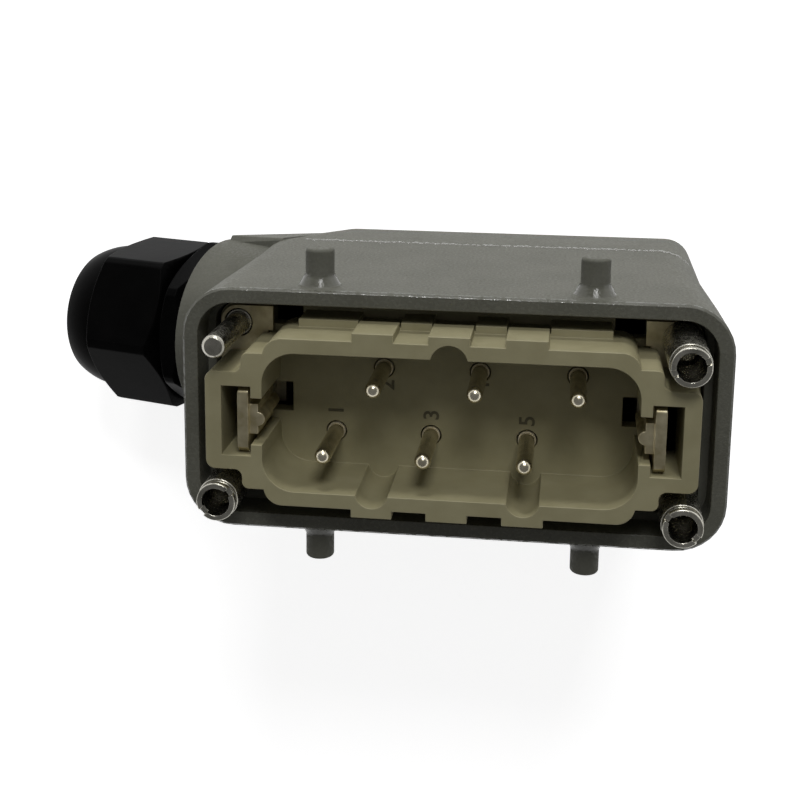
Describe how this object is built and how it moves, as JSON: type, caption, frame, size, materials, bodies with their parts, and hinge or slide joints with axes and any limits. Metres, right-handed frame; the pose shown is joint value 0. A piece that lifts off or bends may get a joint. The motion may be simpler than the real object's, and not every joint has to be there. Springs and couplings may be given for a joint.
{
  "type": "heavy duty rectangular connector",
  "caption": "Angled side-entry hood with locking pegs, a male contact insert with guide pin and guide bushes, and a cable gland with a turning nut.",
  "frame": {"origin": "centre of the hood's mouth, in the plane of the rim", "axes": "+X along the long side, away from the cable entry; +Y across; +Z out of the mouth, the mating direction"},
  "size_m": [0.1347, 0.0562, 0.0901],
  "materials": {
    "hood_paint": "grey powder coat on die-cast aluminium, fine texture, satin",
    "insert_plastic": "pebble grey glass-filled moulding, satin",
    "contact_metal": "silver plating on copper alloy, turned",
    "earth_metal": "zinc plated pressed steel, slightly yellow",
    "screw_metal": "zinc plated steel",
    "guide_metal": "nickel plated turned steel, bright",
    "gland_plastic": "black polyamide, semi-gloss",
    "seal_rubber": "black rubber, matt"
  },
  "bodies": {
    "connector": {"hood": "hood_paint", "contact_insert": "insert_plastic", "contact_pin_1": "contact_metal", "contact_pin_2": "contact_metal", "contact_pin_3": "contact_metal", "contact_pin_4": "contact_metal", "contact_pin_5": "contact_metal", "contact_pin_6": "contact_metal", "terminal_screw_1": "screw_metal", "terminal_screw_2": "screw_metal", "terminal_screw_3": "screw_metal", "terminal_screw_4": "screw_metal", "terminal_screw_5": "screw_metal", "terminal_screw_6": "screw_metal", "earth_plate_left": "earth_metal", "earth_plate_right": "earth_metal", "earth_screw_left": "screw_metal", "earth_screw_right": "screw_metal", "guide_pin": "guide_metal", "guide_bush_1": "guide_metal", "guide_bush_2": "guide_metal", "guide_bush_3": "guide_metal", "gland_body": "gland_plastic", "gland_sealing_ring": "seal_rubber"},
    "sealing_sleeve": {"gland_seal": "seal_rubber"},
    "clamp_nut": {"gland_nut": "gland_plastic"}
  },
  "joints": [
    {"name": "sleeve_slide", "type": "slide", "parent": "connector", "child": "sealing_sleeve", "axis": [-0.9511, 0, -0.309], "range_m": [0, 0.003]},
    {"name": "nut_turn", "type": "hinge", "parent": "sealing_sleeve", "child": "clamp_nut", "pos_m": [-0.06777, 0, -0.06064], "axis": [-0.9511, 0, -0.309], "range_deg": [0, 720]}
  ],
  "couplings": [
    {"joint": "sleeve_slide", "follows": "nut_turn", "m_per_rad": 0.00023873}
  ]
}
